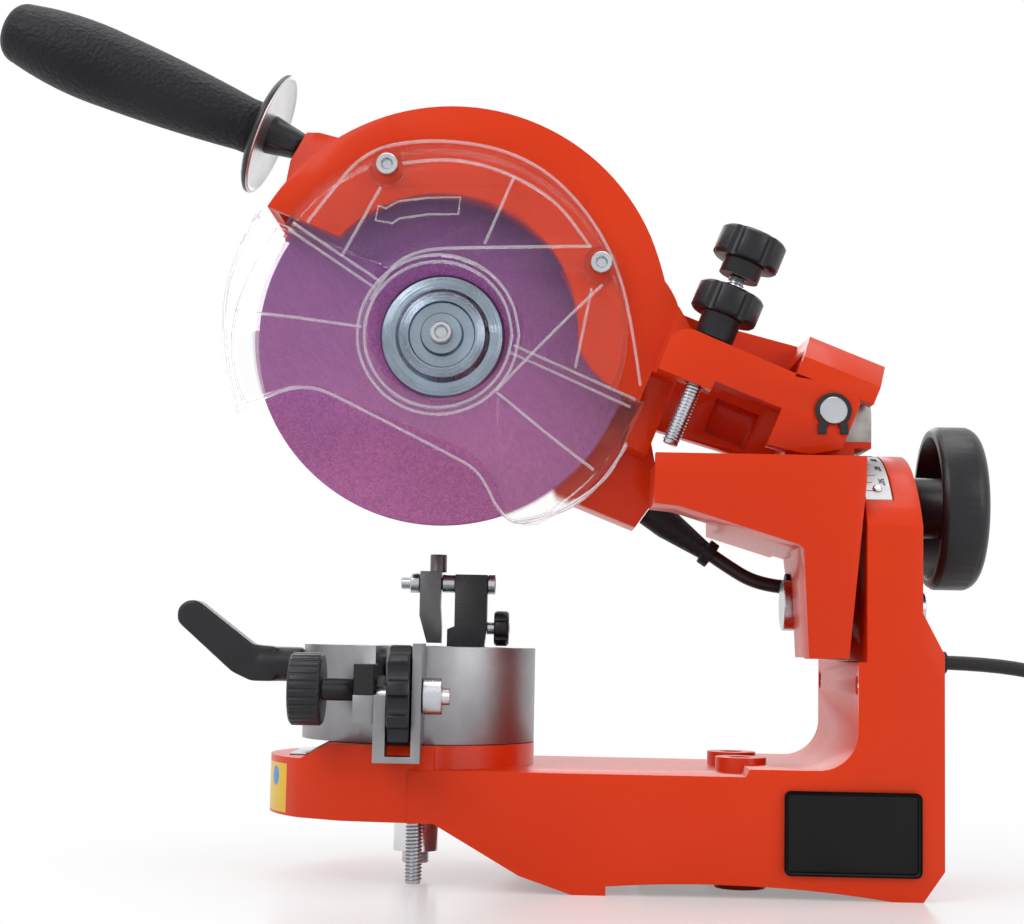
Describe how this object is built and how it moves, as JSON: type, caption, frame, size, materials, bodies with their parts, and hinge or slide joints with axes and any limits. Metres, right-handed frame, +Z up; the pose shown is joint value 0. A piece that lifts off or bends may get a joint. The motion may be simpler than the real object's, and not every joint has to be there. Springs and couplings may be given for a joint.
{
  "type": "saw chain sharpener",
  "caption": "Bench sharpener for saw chains with a cast base, a turning chain vise and a tilting motor head that swings down on a hinge.",
  "frame": {"origin": "on the bench, midway between the two bench bolt holes in the base", "axes": "+Z up along the bolt holes, +X from the vise to the post, +Y to the motor's side"},
  "size_m": [0.66, 0.2204, 0.3332],
  "materials": {
    "orange_paint": "glossy enamel",
    "black_plastic": "fine grained",
    "black_rubber": "moulded",
    "clear_plastic": "clear moulded plastic",
    "bright_steel": "zinc plated",
    "turned_steel": "turned",
    "chrome": "polished",
    "black_steel": "blackened",
    "abrasive": "sintered grit",
    "cord_rubber": "smooth",
    "motor_paint": "satin",
    "copper_core": "wound core",
    "bare_plate": "satin"
  },
  "bodies": {
    "base": {"base_casting": "orange_paint", "tilt_scale": "bare_plate", "tilt_scale_rivets": "chrome", "vise_scale": "bare_plate", "post_screws": "bright_steel", "switch_housing": "black_plastic", "cord_gland": "black_rubber", "mains_cord": "cord_rubber", "cord_coil": "cord_rubber", "mains_plug": "black_rubber"},
    "switch": {"switch_rocker": "black_plastic"},
    "bracket": {"tilt_bracket": "orange_paint", "tilt_pivot_bolt": "bright_steel", "tilt_pivot_nut": "bright_steel", "tilt_lock_bolt": "bright_steel", "return_spring": "bright_steel", "lead_grommet": "black_rubber"},
    "knob": {"tilt_knob": "black_plastic"},
    "head": {"head_casting": "orange_paint", "hinge_pin": "bright_steel", "hinge_circlips": "black_steel", "upper_guard": "clear_plastic", "lower_guard": "clear_plastic", "guard_screws": "bright_steel", "handle_rod": "black_steel", "handle_grip": "black_rubber", "hand_shield": "bare_plate", "motor_housing": "motor_paint", "motor_end_cap": "motor_paint", "motor_stator": "copper_core", "motor_bearings": "bright_steel", "lead_strain_relief": "black_rubber", "motor_lead": "cord_rubber"},
    "spindle": {"motor_shaft": "bright_steel", "motor_rotor": "copper_core", "inner_flange": "bright_steel", "grinding_wheel": "abrasive", "outer_flange": "bright_steel", "spindle_screw": "bright_steel"},
    "depth_stop": {"depth_screw": "bright_steel", "depth_knob": "black_plastic"},
    "depth_lock": {"depth_lock_knob": "black_plastic"},
    "turntable": {"vise_drum": "turned_steel", "fixed_jaw": "turned_steel", "guide_bracket": "turned_steel", "roller_shaft": "bright_steel", "stop_block": "black_plastic", "stop_bolt": "bright_steel", "stop_nut_and_spacer": "bright_steel", "stop_stem": "bright_steel", "turntable_bolt": "bright_steel", "adjuster_block": "black_steel", "vise_lock_stud": "bright_steel"},
    "turntable_lock": {"turntable_lever": "chrome"},
    "jaw": {"moving_jaw": "turned_steel"},
    "clamp": {"clamp_lever": "black_plastic"},
    "adjuster": {"adjuster_knob": "black_plastic"},
    "roller": {"guide_roller": "black_plastic"},
    "pawl": {"stop_pawl": "turned_steel"},
    "star": {"stop_knob": "black_plastic"}
  },
  "joints": [
    {"name": "bracket_tilt", "type": "hinge", "parent": "base", "child": "bracket", "pos_m": [0.041, 0, 0.1033], "axis": [1, 0, 0], "range_deg": [0, 40]},
    {"name": "tilt_knob_turn", "type": "hinge", "parent": "bracket", "child": "knob", "pos_m": [0.0722, 0, 0.1413], "axis": [1, 0, 0], "range_deg": [0, 360]},
    {"name": "head_hinge", "type": "hinge", "parent": "bracket", "child": "head", "pos_m": [0.031, 0, 0.1739], "axis": [0, -1, 0], "range_deg": [0, 16.4], "stiffness_Nm_per_rad": 6, "springref_deg": -68.75, "deforming": ["motor_lead"]},
    {"name": "spindle_spin", "type": "hinge", "parent": "head", "child": "spindle", "pos_m": [-0.11415, 0, 0.20378], "axis": [0, 1, 0], "continuous": true},
    {"name": "depth_screw_feed", "type": "slide", "parent": "head", "child": "depth_stop", "axis": [0.3665, 0, 0.9304], "range_m": [0, 0.022]},
    {"name": "depth_lock_turn", "type": "hinge", "parent": "head", "child": "depth_lock", "pos_m": [-0.0158, -0.027, 0.19234], "axis": [0.3665, 0, 0.9304], "range_deg": [0, 120]},
    {"name": "turntable_turn", "type": "hinge", "parent": "base", "child": "turntable", "pos_m": [-0.12, 0, 0.0506], "axis": [0, 0, 1], "range_deg": [-35, 35]},
    {"name": "turntable_lock_turn", "type": "hinge", "parent": "turntable", "child": "turntable_lock", "pos_m": [-0.12, 0, 0.015], "axis": [0, 0, 1], "range_deg": [0, 25]},
    {"name": "clamp_lever_turn", "type": "hinge", "parent": "turntable", "child": "clamp", "pos_m": [-0.1637, 0, 0.0775], "axis": [1, 0, 0], "range_deg": [0, 60]},
    {"name": "jaw_slide", "type": "slide", "parent": "turntable", "child": "jaw", "axis": [1, 0, 0], "range_m": [-0.0013, 0]},
    {"name": "adjuster_turn", "type": "hinge", "parent": "turntable", "child": "adjuster", "pos_m": [-0.1616, -0.055, 0.0698], "axis": [1, 0, 0], "range_deg": [0, 360]},
    {"name": "roller_spin", "type": "hinge", "parent": "turntable", "child": "roller", "pos_m": [-0.1228, -0.058, 0.0682], "axis": [1, 0, 0], "continuous": true},
    {"name": "pawl_flip", "type": "hinge", "parent": "turntable", "child": "pawl", "pos_m": [-0.1182, 0.03, 0.11], "axis": [1, 0, 0], "range_deg": [0, 90]},
    {"name": "star_knob_turn", "type": "hinge", "parent": "turntable", "child": "star", "pos_m": [-0.0941, 0.03, 0.0927], "axis": [1, 0, 0], "range_deg": [0, 360]},
    {"name": "switch_tip", "type": "hinge", "parent": "base", "child": "switch", "pos_m": [0.0554, 0.047, 0.066], "axis": [1, 0, 0], "range_deg": [0, 20]}
  ],
  "couplings": [
    {"joint": "jaw_slide", "follows": "clamp_lever_turn", "m_per_rad": -0.00115}
  ]
}
